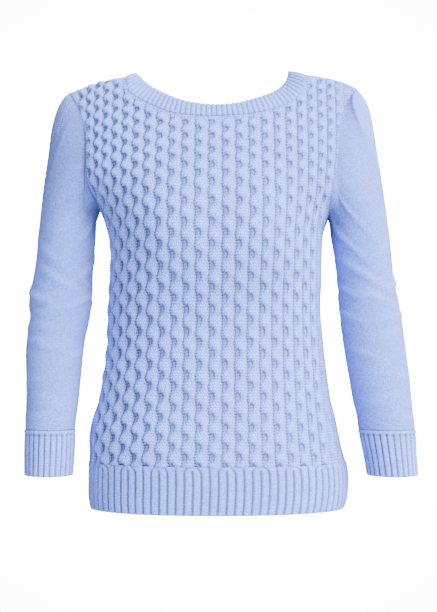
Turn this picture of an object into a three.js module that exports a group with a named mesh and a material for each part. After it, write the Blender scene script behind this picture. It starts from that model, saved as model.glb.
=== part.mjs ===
// Women's cable knit pullover, filled out as it is when worn, with nobody in it.
// Millimetres, +Z up, +X to the viewer's right, the front faces -Y.
// Origin: midway between the two side-neck points, at shoulder height.
//
// Every piece that a knitter would make is one closed cloth wall:
// front_panel, back_panel, two sleeves, neckband, hem_front, hem_back, two cuffs.
// Neck, hem and cuffs are open.  Seams are a narrow gap between matching edges.
import * as THREE from 'three';

// ---------------------------------------------------------------- driving dimensions
const WALL_CABLE = 4.0;        // the cabled front, from the inside to the tops of the cables
const WALL_PLAIN = 2.4;        // stockinette back and sleeves
const WALL_RIB = 3.0;          // neckband, hem and cuffs
const SEAM = 0.15;             // each edge lies this far back from its seam line
const Z_HEM_SEAM = -505;       // where the body joins the hem rib
const Z_HEM = -566;            // hem edge
const Z_CUFF_SEAM = -462.5;    // where the sleeve joins the cuff
const Z_CUFF = -521;           // cuff edge
const Z_SLEEVE_RING = -215;    // below this the sleeve's rings are level
const ROLL = 110;              // height over which the body turns over the shoulder
const EXPO = 2.2;              // roundness of the body's level sections

const NECK_COLS = 16;          // facets along the front (and the back) neck edge
const SHOULDER_COLS = 3;       // facets along each shoulder seam
const SIDE_ROWS = 12;          // facets up each side seam
const ARM_ROWS = 9;            // facets up the front (and the back) of each armhole
const CAP_RINGS = 6;           // sleeve rings from the armhole to Z_SLEEVE_RING
const TUBE_RINGS = 8;          // sleeve rings below it
const HEM_ROWS = 3;
const CUFF_RINGS = 3;
const BAND_ROWS = 2;

const COLS = NECK_COLS + 2 * SHOULDER_COLS;
const ROWS = SIDE_ROWS + ARM_ROWS;
const S_NECK = NECK_COLS / COLS;           // column parameter of the side-neck points
const T_ARM = SIDE_ROWS / ROWS;            // row parameter of the underarm

// Side of the body, left and right, by height; above the underarm it is the width
// that the body would have under the sleeve.
const SIDE_L = [[-566.6, -162.5], [-556, -164.5], [-530, -165.1], [-512, -164.7], [-499, -163.8], [-475.6, -164.2],
  [-460, -162.5], [-444.4, -158.2], [-428.8, -152.6], [-413.2, -149.3], [-397.6, -146.8], [-382, -144.3],
  [-366.4, -142.2], [-350.8, -140.8], [-327.4, -140.4], [-296.2, -139.1], [-265, -137.2], [-241.6, -136.6],
  [-226, -137.4], [-210.4, -139.8], [-194.8, -143.6], [-183.1, -149.5], [-168, -157.5], [-146, -177], [-130, -187],
  [-107, -192], [-77, -195], [-47, -197.5], [-27, -200], [10, -202]];
const SIDE_R = [[-566.6, 167.7], [-556, 171.6], [-545.8, 173.2], [-530, 174], [-512, 172.4], [-499, 168.4], [-483.4, 164.2],
  [-467.8, 161], [-444.4, 156], [-428.8, 152], [-397.6, 146.9], [-366.4, 143], [-335.2, 140], [-319.6, 138.4],
  [-296.2, 137.8], [-265, 139], [-233.8, 139.8], [-218.2, 140.6], [-202.6, 143], [-192.2, 146.9], [-175, 153],
  [-156, 166], [-131, 179], [-99, 188], [-66, 192], [-40, 194.5], [-21, 196], [10, 198]];
// How far the body stands out to the front and to the back of its side line, by height.
const DEPTH_F = [[-570, 110], [-512, 110.5], [-480, 109], [-430, 103], [-380, 98], [-330, 97.5], [-300, 102],
  [-260, 113], [-215, 118.5], [-190, 117], [-150, 107.5], [-108, 92], [-62, 72], [-28, 58], [10, 48]];
const DEPTH_B = [[-570, 112], [-512, 114], [-480, 112], [-430, 104], [-380, 93], [-330, 85], [-300, 85], [-265, 91],
  [-230, 98], [-190, 103], [-150, 102], [-108, 95], [-62, 82], [-28, 70], [10, 60]];
// Top line of the shoulders, seen from the front.
const SHOULDER = [[-200, -32], [-189.8, -27.1], [-183, -23.8], [-161.2, -15.8], [-139, -9.2], [-115.7, -5], [-90, -0.5],
  [-60, 5], [0, 10], [60, 6.5], [90, 2], [117, -2.4], [143, -6.4], [157.3, -9.4], [170, -13.6], [178, -17.2],
  [184.6, -21.5], [196, -29]];
const BUST = { x: 72, z: -208, rx: 42, rz: 48, gain: 0.07 };

// Armholes, seen from the front, from the underarm up to the shoulder point.
const ARM_FL = [[-149.5, -183.1], [-154.4, -167.6], [-162, -150], [-164.4, -129.6], [-165.2, -106.7], [-167.2, -76.8],
  [-177.4, -46.9], [-189.8, -27.1]];
const ARM_FR = [[146.9, -192.2], [146.4, -175], [149.5, -155.8], [154.8, -130.9], [158, -99], [161.5, -66.5],
  [172, -39], [184.6, -21.5]];
const ARM_BL = [[-149.5, -183.1], [-156, -168], [-164, -149], [-167, -130], [-169, -107], [-172.5, -76],
  [-181, -45], [-189.8, -27.1]];
const ARM_BR = [[146.9, -192.2], [147.6, -176], [152.5, -157], [159, -132], [163, -102], [167.5, -70],
  [176, -40], [184.6, -21.5]];
// Neck edge of the body panels, seen from the front, and the free edge of the neckband.
const NECK_F = [[-115.7, -5], [-113.6, -17.7], [-110, -28.1], [-101.1, -35.4], [-89.3, -42.3], [-76.3, -49.5],
  [-57, -57], [-31.5, -61.4], [-4, -62.6], [21.6, -61.8], [50.8, -58.6], [71.2, -53.8], [90.5, -46.4], [105, -36.2],
  [113.4, -22.5], [117, -2.4]];
const NECK_B = [[-115.7, -5], [-114, -17], [-109.5, -27], [-100, -35], [-88, -41], [-75, -46], [-56, -51], [-31, -54.5],
  [-2, -55.5], [25, -55], [50, -52.5], [71, -49], [90, -43.5], [104, -34.5], [112.8, -22], [117, -2.4]];
const BAND_F = [[-102, 0, -0.3], [-95.9, -8, -5.9], [-91.8, -14, -10.7], [-85, -22, -17.4], [-67.9, -36, -27.8],
  [-49.7, -48, -37], [-25.3, -56, -44], [3.9, -60, -46.4], [29.3, -57, -43.8], [52.4, -50, -37.2], [75.7, -36, -27.2],
  [87.6, -22, -17], [92.5, -12, -9.1], [94.9, 0, 2.4]];
const BAND_B = [[-102, 0, -0.3], [-96, 8, -6], [-91.5, 14, -10.5], [-84.5, 22, -17], [-67.5, 36, -25.5], [-49, 46, -32.5],
  [-25, 54, -37], [0, 57, -38.5], [27, 54, -37], [51, 46, -32.5], [75, 35, -25.5], [87, 21, -17], [92.2, 11, -9],
  [94.9, 0, 2.4]];

// Sleeves by height: outer edge, middle, half depth front to back, and how far forward the arm hangs.
const SLEEVE_L = {
  outer: [[-521, -245.4], [-480, -245.7], [-462.5, -245.2], [-428.8, -244.4], [-397.6, -244.6], [-382, -245.4],
    [-350.8, -245.2], [-335.2, -243.2], [-318, -241], [-300, -242.6], [-280.6, -240.2], [-265, -236.8], [-249.4, -234.2],
    [-218.2, -231.3], [-179.2, -227.2], [-148, -223.6], [-116.8, -219], [-101.2, -217.1], [-77.8, -214], [-62.2, -210.6],
    [-46.6, -205.4], [-38.8, -201.3], [-31, -195.6], [-27.1, -189.8]],
  middle: [[-521, -213.6], [-480, -212.6], [-462.5, -212.3], [-428.8, -210], [-397.6, -208.7], [-382, -208.4],
    [-350.8, -206.8], [-335.2, -204.3], [-318, -201.3], [-300, -201.2], [-280.6, -199.4], [-249.4, -195.7],
    [-215, -192.8], [-187, -190.5], [-168, -186.5], [-150, -180], [-130, -176.5], [-107, -174], [-77, -175],
    [-47, -179], [-38, -184], [-31, -188.2], [-27.1, -189.8]],
};
const SLEEVE_R = {
  outer: [[-521, 261.4], [-499, 260], [-462.5, 258.4], [-444, 256.2], [-428.8, 254.8], [-397.6, 252.2], [-366.4, 248.6],
    [-327.4, 244], [-296.2, 239], [-265, 233.2], [-233.8, 230], [-194.8, 225.3], [-163.6, 221], [-132.4, 216.4],
    [-101.2, 211.3], [-77.8, 207.8], [-62.2, 205], [-46.6, 201], [-38.8, 197.6], [-31, 193], [-26, 189], [-21.5, 184.6]],
  middle: [[-521, 228], [-499, 225.6], [-462.5, 221.2], [-444, 219], [-428.8, 216.4], [-397.6, 212.5], [-366.4, 208.1],
    [-327.4, 203.3], [-296.2, 199.6], [-265, 195.4], [-233.8, 191.8], [-215, 189], [-194.8, 186.4], [-176, 182],
    [-158, 175], [-135, 168.5], [-101, 166], [-70, 168], [-41, 174.5], [-31, 179], [-26, 182.3], [-21.5, 184.6]],
};
const ARM_DEPTH = [[-521, 37.5], [-480, 38.5], [-462.5, 39], [-400, 41.5], [-350, 44], [-300, 46.5], [-265, 47],
  [-215, 48.5], [-187, 50], [-168, 51.5], [-150, 52.5], [-130, 52.3], [-107, 50.8], [-77, 43.5], [-62, 37.5], [-47, 28.5],
  [-38, 20], [-31, 10.5], [-27.1, 2], [-21.5, 2]];
const ARM_FORWARD = [[-521, -32], [-462.5, -25], [-380, -12], [-300, -1], [-215, 3], [-130, 2], [-60, 1], [-21.5, 0]];

// Colours of the wool, for a plain display.
const WOOL = { front: 0xbccbec, plain: 0xb3c2e6, rib: 0xb7c6e9 };

// ---------------------------------------------------------------- curves
// Smooth curve through [x, y, ...] rows sorted by x (cubic Hermite, three-point slopes).
function curve(rows) {
  const n = rows.length, x = rows.map((r) => r[0]), dim = rows[0].length - 1;
  const slope = rows.map((_, i) => {
    const out = [];
    for (let c = 1; c <= dim; c++) {
      const d = (a, b) => (rows[b][c] - rows[a][c]) / (x[b] - x[a]);
      if (i === 0) out.push(d(0, 1));
      else if (i === n - 1) out.push(d(n - 2, n - 1));
      else {
        const h0 = x[i] - x[i - 1], h1 = x[i + 1] - x[i];
        out.push((d(i - 1, i) * h1 + d(i, i + 1) * h0) / (h0 + h1));
      }
    }
    return out;
  });
  return (q) => {
    q = Math.min(Math.max(q, x[0]), x[n - 1]);
    let i = 0;
    while (i < n - 2 && q > x[i + 1]) i++;
    const h = x[i + 1] - x[i], u = (q - x[i]) / h, out = [];
    for (let c = 1; c <= dim; c++) {
      const a = rows[i][c], b = rows[i + 1][c], ma = slope[i][c - 1] * h, mb = slope[i + 1][c - 1] * h;
      out.push((2 * u ** 3 - 3 * u ** 2 + 1) * a + (u ** 3 - 2 * u ** 2 + u) * ma
        + (-2 * u ** 3 + 3 * u ** 2) * b + (u ** 3 - u ** 2) * mb);
    }
    return dim === 1 ? out[0] : out;
  };
}
// The same through points, by the length along them; the argument runs from 0 to 1.
function path(points) {
  const rows = [];
  let along = 0;
  points.forEach((p, i) => {
    if (i) along += Math.hypot(...p.map((v, c) => v - points[i - 1][c]));
    rows.push([along, ...p]);
  });
  const raw = curve(rows), table = [[0, 0]], steps = 400;
  let length = 0, last = raw(0);
  for (let i = 1; i <= steps; i++) {
    const p = raw((along * i) / steps);
    length += Math.hypot(...p.map((v, c) => v - last[c]));
    last = p;
    table.push([length, (along * i) / steps]);
  }
  return (u) => {
    const want = u * length;
    let i = 1;
    while (i < steps && table[i][0] < want) i++;
    const [l0, a0] = table[i - 1], [l1, a1] = table[i];
    return raw(a0 + ((a1 - a0) * (want - l0)) / (l1 - l0));
  };
}

const sideL = curve(SIDE_L), sideR = curve(SIDE_R);
const depthF = curve(DEPTH_F), depthB = curve(DEPTH_B), shoulder = curve(SHOULDER);

// How far the body's surface stands from the side line at a point of the front (or back) view.
function bodyDepth(x, z, depth, bust) {
  const l = sideL(z), r = sideR(z);
  const across = Math.min(1, Math.abs(x - (l + r) / 2) / ((r - l) / 2));
  const up = Math.min(1, Math.max(0, (shoulder(x) - z) / ROLL));
  const section = Math.max(0, 1 - across ** EXPO) ** (1 / EXPO);
  const roll = Math.max(0, 1 - (1 - up) ** EXPO) ** (1 / EXPO);
  const b = bust ? 1 + BUST.gain * Math.exp(-(((Math.abs(x) - BUST.x) / BUST.rx) ** 2) - ((z - BUST.z) / BUST.rz) ** 2) : 1;
  return depth(z) * section * roll * b;
}

// ---------------------------------------------------------------- body panels
const spread = curve([[-0.2, 1], [-0.1, 1], [0, 0.985], [0.09, 0.9], [0.2, 0.77], [0.3, 0.7], [0.45, 0.665], [0.65, 0.66], [0.85, 0.7], [1, 0.76]]);
// Column position from -1 to 1: by angle round the body, less so between the armholes.
function columnAt(s, t) {
  const k = Math.min(1, spread((t - T_ARM) / (1 - T_ARM)));
  return Math.sin((k * s * Math.PI) / 2) / Math.sin((k * Math.PI) / 2);
}
function bodyPanel(neck, armL, armR, depth, sign) {
  const neckAt = path(neck), armLAt = path(armL), armRAt = path(armR);
  const tipL = armL[armL.length - 1], tipR = armR[armR.length - 1];
  const edge = (side, arm, armAt, t) => {
    if (t >= T_ARM) return armAt((t - T_ARM) / (1 - T_ARM));
    const z = Z_HEM_SEAM + ((arm[0][1] - Z_HEM_SEAM) * t) / T_ARM;
    return [side(z), z];
  };
  const top = (s) => {
    if (Math.abs(s) <= S_NECK) return neckAt((s / S_NECK + 1) / 2);
    const [tip, corner] = s < 0 ? [tipL, neck[0]] : [tipR, neck[neck.length - 1]];
    const u = (1 - Math.abs(s)) / (1 - S_NECK), x = tip[0] + (corner[0] - tip[0]) * u;
    return [x, shoulder(x)];
  };
  return (s, t) => {
    const l = edge(sideL, armL, armLAt, t), r = edge(sideR, armR, armRAt, t);
    const w = (columnAt(s, t) + 1) / 2, w1 = (columnAt(s, 1) + 1) / 2;
    const b = Math.max(0, (t - 0.3) / 0.7) ** 3, e = top(s);
    const x = l[0] + (r[0] - l[0]) * w + b * b * (e[0] - tipL[0] - (tipR[0] - tipL[0]) * w1);
    const z = l[1] + (r[1] - l[1]) * w + b * (e[1] - tipL[1] - (tipR[1] - tipL[1]) * w1);
    const onSide = Math.abs(s) === 1 && t <= T_ARM, onShoulder = t === 1 && Math.abs(s) >= S_NECK;
    return [x, onSide || onShoulder ? 0 : sign * bodyDepth(x, z, depth, sign < 0), z];
  };
}
const frontAt = bodyPanel(NECK_F, ARM_FL, ARM_FR, depthF, -1);
const backAt = bodyPanel(NECK_B, ARM_BL, ARM_BR, depthB, 1);
const sAt = (i) => -1 + (2 * i) / COLS;
// Rows lie closer together towards the shoulder, where the body turns over.
const tAt = (j) => (j <= SIDE_ROWS ? j / ROWS : T_ARM + (1 - T_ARM) * (1 - (1 - (j - SIDE_ROWS) / ARM_ROWS) ** 1.45));

function grid(nu, nv, at) {
  const out = [];
  for (let i = 0; i <= nu; i++) {
    out.push([]);
    for (let j = 0; j <= nv; j++) out[i].push(at(i, j));
  }
  return out;
}
const front = grid(COLS, ROWS, (i, j) => frontAt(sAt(i), tAt(j)));
const back = grid(COLS, ROWS, (i, j) => backAt(sAt(i), tAt(j)));

// ---------------------------------------------------------------- hem
function hemPanel(depth, sign) {
  return grid(COLS, HEM_ROWS, (i, j) => {
    const z = Z_HEM + ((Z_HEM_SEAM - Z_HEM) * j) / HEM_ROWS, l = sideL(z), r = sideR(z);
    const x = (l + r) / 2 + ((r - l) / 2) * Math.sin((sAt(i) * Math.PI) / 2);
    return [x, i === 0 || i === COLS ? 0 : sign * bodyDepth(x, z, depth, sign < 0), z];
  });
}
const hemFront = hemPanel(depthF, -1), hemBack = hemPanel(depthB, 1);

// ---------------------------------------------------------------- neckband
// A ring that starts at one side-neck point, runs along the front and comes back along the back.
function neckbandGrid() {
  const inF = path(BAND_F), inB = path(BAND_B), n = NECK_COLS;
  return grid(2 * n, BAND_ROWS, (i, j) => {
    const onFront = i <= n, k = onFront ? i : 2 * n - i, col = SHOULDER_COLS + k;
    const a = (onFront ? front : back)[col][ROWS], b = (onFront ? inF : inB)(k / n), u = j / BAND_ROWS;
    const lift = 1.3 * 4 * u * (1 - u);     // the band is slightly full between its edges
    return [a[0] + (b[0] - a[0]) * u, a[1] + (b[1] - a[1]) * u + (onFront ? -1 : 1) * lift * 0.8, a[2] + (b[2] - a[2]) * u + lift * 0.6];
  });
}

// ---------------------------------------------------------------- sleeves and cuffs
const armDepth = curve(ARM_DEPTH), armForward = curve(ARM_FORWARD);
// A tube of level sections; the angle is 0 on the outer side, 90 at the front, 180 against the body.
function tube(form) {
  const outer = curve(form.outer), middle = curve(form.middle);
  const at = (angle, z) => {
    const m = middle(z), o = outer(z), b = armDepth(z);
    return [m + (o - m) * Math.cos(angle), armForward(z) - b * Math.sin(angle), z];
  };
  const angleOf = (p) => {
    const m = middle(p[2]), a = Math.max(2, Math.abs(outer(p[2]) - m)), b = Math.max(2, armDepth(p[2]));
    const out = ((p[0] - m) / a) * Math.sign(form.outer[0][1]);
    return Math.atan2((armForward(p[2]) - p[1]) / b, out);
  };
  return { at, angleOf };
}
function sleeveGrid(form, side) {
  const { at, angleOf } = tube(form), n = 2 * ARM_ROWS, edgeCol = side < 0 ? 0 : COLS;
  return grid(n, CAP_RINGS + TUBE_RINGS, (k, j) => {
    const turn = (k / n) * 2 * Math.PI;      // 0 at the shoulder point, through the front, half a turn at the underarm
    const onFront = k <= ARM_ROWS, row = onFront ? ROWS - k : ROWS - (n - k);
    const seam = (onFront ? front : back)[edgeCol][row];
    if (j > CAP_RINGS) {
      const z = Z_SLEEVE_RING + ((Z_CUFF_SEAM - Z_SLEEVE_RING) * (j - CAP_RINGS)) / TUBE_RINGS;
      return at(turn, z);
    }
    const v = (j / CAP_RINGS) ** 1.6, z = seam[2] + (Z_SLEEVE_RING - seam[2]) * v;
    let start = angleOf(seam);
    if (k === 0 || k === n) start = turn;
    else if (k === ARM_ROWS) start = Math.PI;
    else if (start < 0) start += 2 * Math.PI;
    // Round the outside of the arm quickly, and under the arm only once clear of the body.
    const ease = Math.cos(turn) > Math.cos(start) ? 1 - (1 - v) ** 2.5 : v * v * (3 - 2 * v), on = at(start, seam[2]), p = at(start + (turn - start) * ease, z), fade = (1 - v) ** 2;
    return p.map((c, m) => c + (seam[m] - on[m]) * fade);
  });
}
function cuffGrid(form) {
  const { at } = tube(form), n = 2 * ARM_ROWS;
  return grid(n, CUFF_RINGS, (k, j) => at((k / n) * 2 * Math.PI, Z_CUFF_SEAM + ((Z_CUFF - Z_CUFF_SEAM) * j) / CUFF_RINGS));
}

// ---------------------------------------------------------------- cloth walls
const pieces = [
  { name: 'front_panel', g: front, wall: WALL_CABLE, edges: 'lrbt', color: WOOL.front },
  { name: 'back_panel', g: back, wall: WALL_PLAIN, edges: 'lrbt', color: WOOL.plain },
  { name: 'sleeve_right', g: sleeveGrid(SLEEVE_L, -1), wall: WALL_PLAIN, ring: true, seam: 0.4, edges: 'bt', color: WOOL.plain },
  { name: 'sleeve_left', g: sleeveGrid(SLEEVE_R, 1), wall: WALL_PLAIN, ring: true, seam: 0.4, edges: 'bt', color: WOOL.plain },
  { name: 'neckband', g: neckbandGrid(), wall: WALL_RIB, ring: true, seam: 0.25, edges: 'b', color: WOOL.rib },
  { name: 'hem_front', g: hemFront, wall: WALL_RIB, edges: 'lrt', color: WOOL.rib },
  { name: 'hem_back', g: hemBack, wall: WALL_RIB, edges: 'lrt', color: WOOL.rib },
  { name: 'cuff_right', g: cuffGrid(SLEEVE_L), wall: WALL_RIB, ring: true, edges: 'b', color: WOOL.rib },
  { name: 'cuff_left', g: cuffGrid(SLEEVE_R), wall: WALL_RIB, ring: true, edges: 'b', color: WOOL.rib },
];
const sub = (a, b) => a.map((v, i) => v - b[i]);
const add = (a, b, k = 1) => a.map((v, i) => v + b[i] * k);
const dot = (a, b) => a[0] * b[0] + a[1] * b[1] + a[2] * b[2];
const cross = (a, b) => [a[1] * b[2] - a[2] * b[1], a[2] * b[0] - a[0] * b[2], a[0] * b[1] - a[1] * b[0]];
const unit = (a) => { const l = Math.hypot(...a) || 1; return a.map((v) => v / l); };
const key = (p) => p.map((v) => v.toFixed(3)).join(',');

// Where the middle of the cloth hollow is, to tell the outside from the inside.
function inward(piece, p) {
  if (piece.name.startsWith('sleeve') || piece.name.startsWith('cuff')) {
    const side = piece.name.endsWith('right') ? SLEEVE_L : SLEEVE_R;
    return [curve(side.middle)(p[2]), armForward(p[2]), p[2] - 4];
  }
  return [0, 0, Math.min(p[2] - 4, -60)];
}
for (const piece of pieces) {
  const g = piece.g, nu = g.length - 1, nv = g[0].length - 1;
  const votes = [0, 0];
  piece.n = g.map((col, i) => col.map((p, j) => {
    const wrap = (k) => (piece.ring ? (k + nu) % nu : Math.min(nu, Math.max(0, k)));
    const du = sub(g[wrap(i + 1)][j], g[wrap(i - 1)][j]);
    const dv = sub(g[i][Math.min(nv, j + 1)], g[i][Math.max(0, j - 1)]);
    const n = unit(cross(du, dv));
    votes[dot(n, sub(p, inward(piece, p))) > 0 ? 0 : 1]++;
    return n;
  }));
  piece.flip = votes[1] > votes[0];
  if (piece.flip) piece.n = piece.n.map((col) => col.map((n) => n.map((v) => -v)));
}
// One common direction through the cloth at each seam point.
const shared = new Map();
for (const { g, n, name } of pieces) {
  const nu = g.length - 1, nv = g[0].length - 1;
  g.forEach((col, i) => col.forEach((p, j) => {
    if (i > 0 && i < nu && j > 0 && j < nv) return;
    // At the underarm one sleeve meets two panels, so it counts twice.
    const k = key(p), weight = name.startsWith('sleeve') && i === ARM_ROWS && j === 0 ? 2 : 1;
    shared.set(k, add(shared.get(k) || [0, 0, 0], n[i][j], weight));
  }));
}
function shell(piece) {
  const { g, n, wall, ring } = piece, nu = g.length - 1, nv = g[0].length - 1, cols = ring ? nu : nu + 1;
  const has = (e) => piece.edges.includes(e);
  const pos = [], index = [];
  const at = (i, j) => g[ring ? (i + nu) % nu : i][j];
  const outerId = (i, j) => ((ring ? i % nu : i) * (nv + 1) + j) * 2;
  for (let i = 0; i < cols; i++) {
    for (let j = 0; j <= nv; j++) {
      const p = g[i][j], rim = j === 0 || j === nv || (!ring && (i === 0 || i === nu));
      const through = rim ? unit(shared.get(key(p))) : n[i][j];
      let move = [0, 0, 0];
      const draw = (tangent, into) => {
        let d = unit(cross(tangent, through));
        if (dot(d, into) < 0) d = d.map((v) => -v);
        move = add(move, d, piece.seam || SEAM);
      };
      const along = () => sub(ring || i < nu ? at(i + 1, j) : at(i, j), ring || i > 0 ? at(i - 1, j) : at(i, j));
      const up = () => sub(g[i][Math.min(nv, j + 1)], g[i][Math.max(0, j - 1)]);
      if (j === 0 && has('b')) draw(along(), sub(g[i][2], p));
      if (j === nv && has('t')) draw(along(), sub(g[i][nv - 1], p));
      if (!ring && i === 0 && has('l')) draw(up(), sub(g[1][j], p));
      if (!ring && i === nu && has('r')) draw(up(), sub(g[nu - 1][j], p));
      const outer = add(p, move);
      pos.push(...outer, ...add(outer, through, -wall));
    }
  }
  const quad = (a, b, c, d) => index.push(a, b, c, a, c, d);
  // An edge quad from outer a to outer b to their inner points; both pieces of a seam split it the same way.
  const before = (p, q) => (Math.abs(p[2] - q[2]) > 1e-6 ? p[2] < q[2] : Math.abs(p[1] - q[1]) > 1e-6 ? p[1] < q[1] : p[0] < q[0]);
  const edge = (a, b, p, q) => {
    if (before(p, q)) index.push(a, b, b + 1, a, b + 1, a + 1);
    else index.push(a, b, a + 1, b, b + 1, a + 1);
  };
  for (let i = 0; i < nu; i++) {
    for (let j = 0; j < nv; j++) {
      const a = outerId(i, j), b = outerId(i + 1, j), c = outerId(i + 1, j + 1), d = outerId(i, j + 1);
      quad(a, b, c, d);
      quad(d + 1, c + 1, b + 1, a + 1);
    }
    edge(outerId(i + 1, 0), outerId(i, 0), at(i + 1, 0), at(i, 0));
    edge(outerId(i, nv), outerId(i + 1, nv), at(i, nv), at(i + 1, nv));
  }
  if (!ring) {
    for (let j = 0; j < nv; j++) {
      edge(outerId(0, j), outerId(0, j + 1), at(0, j), at(0, j + 1));
      edge(outerId(nu, j + 1), outerId(nu, j), at(nu, j + 1), at(nu, j));
    }
  }
  if (piece.flip) for (let k = 0; k < index.length; k += 3) [index[k + 1], index[k + 2]] = [index[k + 2], index[k + 1]];
  const geometry = new THREE.BufferGeometry();
  geometry.setAttribute('position', new THREE.Float32BufferAttribute(pos, 3));
  geometry.setIndex(index);
  geometry.computeVertexNormals();
  return geometry;
}

const sweater = new THREE.Group();
for (const piece of pieces) {
  const material = new THREE.MeshStandardMaterial({ color: piece.color, roughness: 0.95, metalness: 0 });
  const mesh = new THREE.Mesh(shell(piece), material);
  mesh.name = piece.name;
  sweater.add(mesh);
}
export default sweater;
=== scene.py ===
"""Women's cable knit pullover, filled out as it is when worn, with nobody in it.

Every piece of knit is one closed mesh that stands for the CAD piece of the same place.
Lengths below are in millimetres, in the CAD's frame, and meshes are made in metres.
"""

import math

import bpy
import numpy as np
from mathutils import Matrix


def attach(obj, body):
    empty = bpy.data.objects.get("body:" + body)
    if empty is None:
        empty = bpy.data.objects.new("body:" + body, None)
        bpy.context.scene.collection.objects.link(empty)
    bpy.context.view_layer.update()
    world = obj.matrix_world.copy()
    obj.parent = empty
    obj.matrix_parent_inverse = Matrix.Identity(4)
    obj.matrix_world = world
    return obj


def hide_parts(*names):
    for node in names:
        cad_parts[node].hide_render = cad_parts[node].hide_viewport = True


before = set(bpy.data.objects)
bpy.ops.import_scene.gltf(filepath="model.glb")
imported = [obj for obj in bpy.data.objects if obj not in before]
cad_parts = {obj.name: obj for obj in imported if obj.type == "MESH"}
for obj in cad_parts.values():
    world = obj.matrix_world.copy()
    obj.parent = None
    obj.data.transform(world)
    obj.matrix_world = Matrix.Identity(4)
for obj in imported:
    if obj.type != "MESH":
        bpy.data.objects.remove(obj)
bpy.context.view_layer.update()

# ------------------------------------------------------------------ the CAD's dimensions
WALL_CABLE = 4.0
WALL_PLAIN = 2.4
WALL_RIB = 3.0
SEAM = 0.15
Z_HEM_SEAM = -505
Z_HEM = -566
Z_CUFF_SEAM = -462.5
Z_CUFF = -521
Z_SLEEVE_RING = -215
ROLL = 110
EXPO = 2.2
NECK_COLS = 16
SHOULDER_COLS = 3
SIDE_ROWS = 12
ARM_ROWS = 9
CAP_RINGS = 6
TUBE_RINGS = 8
COLS, ROWS = NECK_COLS + 2 * SHOULDER_COLS, SIDE_ROWS + ARM_ROWS
S_NECK, T_ARM = NECK_COLS / COLS, SIDE_ROWS / ROWS

SIDE_L = [[-566.6, -162.5], [-556, -164.5], [-530, -165.1], [-512, -164.7], [-499, -163.8], [-475.6, -164.2],
  [-460, -162.5], [-444.4, -158.2], [-428.8, -152.6], [-413.2, -149.3], [-397.6, -146.8], [-382, -144.3],
  [-366.4, -142.2], [-350.8, -140.8], [-327.4, -140.4], [-296.2, -139.1], [-265, -137.2], [-241.6, -136.6],
  [-226, -137.4], [-210.4, -139.8], [-194.8, -143.6], [-183.1, -149.5], [-168, -157.5], [-146, -177], [-130, -187],
  [-107, -192], [-77, -195], [-47, -197.5], [-27, -200], [10, -202]]
SIDE_R = [[-566.6, 167.7], [-556, 171.6], [-545.8, 173.2], [-530, 174], [-512, 172.4], [-499, 168.4], [-483.4, 164.2],
  [-467.8, 161], [-444.4, 156], [-428.8, 152], [-397.6, 146.9], [-366.4, 143], [-335.2, 140], [-319.6, 138.4],
  [-296.2, 137.8], [-265, 139], [-233.8, 139.8], [-218.2, 140.6], [-202.6, 143], [-192.2, 146.9], [-175, 153],
  [-156, 166], [-131, 179], [-99, 188], [-66, 192], [-40, 194.5], [-21, 196], [10, 198]]
DEPTH_F = [[-570, 110], [-512, 110.5], [-480, 109], [-430, 103], [-380, 98], [-330, 97.5], [-300, 102],
  [-260, 113], [-215, 118.5], [-190, 117], [-150, 107.5], [-108, 92], [-62, 72], [-28, 58], [10, 48]]
DEPTH_B = [[-570, 112], [-512, 114], [-480, 112], [-430, 104], [-380, 93], [-330, 85], [-300, 85], [-265, 91],
  [-230, 98], [-190, 103], [-150, 102], [-108, 95], [-62, 82], [-28, 70], [10, 60]]
SHOULDER = [[-200, -32], [-189.8, -27.1], [-183, -23.8], [-161.2, -15.8], [-139, -9.2], [-115.7, -5], [-90, -0.5],
  [-60, 5], [0, 10], [60, 6.5], [90, 2], [117, -2.4], [143, -6.4], [157.3, -9.4], [170, -13.6], [178, -17.2],
  [184.6, -21.5], [196, -29]]
BUST = { "x": 72, "z": -208, "rx": 42, "rz": 48, "gain": 0.07 }
ARM_FL = [[-149.5, -183.1], [-154.4, -167.6], [-162, -150], [-164.4, -129.6], [-165.2, -106.7], [-167.2, -76.8],
  [-177.4, -46.9], [-189.8, -27.1]]
ARM_FR = [[146.9, -192.2], [146.4, -175], [149.5, -155.8], [154.8, -130.9], [158, -99], [161.5, -66.5],
  [172, -39], [184.6, -21.5]]
ARM_BL = [[-149.5, -183.1], [-156, -168], [-164, -149], [-167, -130], [-169, -107], [-172.5, -76],
  [-181, -45], [-189.8, -27.1]]
ARM_BR = [[146.9, -192.2], [147.6, -176], [152.5, -157], [159, -132], [163, -102], [167.5, -70],
  [176, -40], [184.6, -21.5]]
NECK_F = [[-115.7, -5], [-113.6, -17.7], [-110, -28.1], [-101.1, -35.4], [-89.3, -42.3], [-76.3, -49.5],
  [-57, -57], [-31.5, -61.4], [-4, -62.6], [21.6, -61.8], [50.8, -58.6], [71.2, -53.8], [90.5, -46.4], [105, -36.2],
  [113.4, -22.5], [117, -2.4]]
NECK_B = [[-115.7, -5], [-114, -17], [-109.5, -27], [-100, -35], [-88, -41], [-75, -46], [-56, -51], [-31, -54.5],
  [-2, -55.5], [25, -55], [50, -52.5], [71, -49], [90, -43.5], [104, -34.5], [112.8, -22], [117, -2.4]]
BAND_F = [[-102, 0, -0.3], [-95.9, -8, -5.9], [-91.8, -14, -10.7], [-85, -22, -17.4], [-67.9, -36, -27.8],
  [-49.7, -48, -37], [-25.3, -56, -44], [3.9, -60, -46.4], [29.3, -57, -43.8], [52.4, -50, -37.2], [75.7, -36, -27.2],
  [87.6, -22, -17], [92.5, -12, -9.1], [94.9, 0, 2.4]]
BAND_B = [[-102, 0, -0.3], [-96, 8, -6], [-91.5, 14, -10.5], [-84.5, 22, -17], [-67.5, 36, -25.5], [-49, 46, -32.5],
  [-25, 54, -37], [0, 57, -38.5], [27, 54, -37], [51, 46, -32.5], [75, 35, -25.5], [87, 21, -17], [92.2, 11, -9],
  [94.9, 0, 2.4]]
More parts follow.
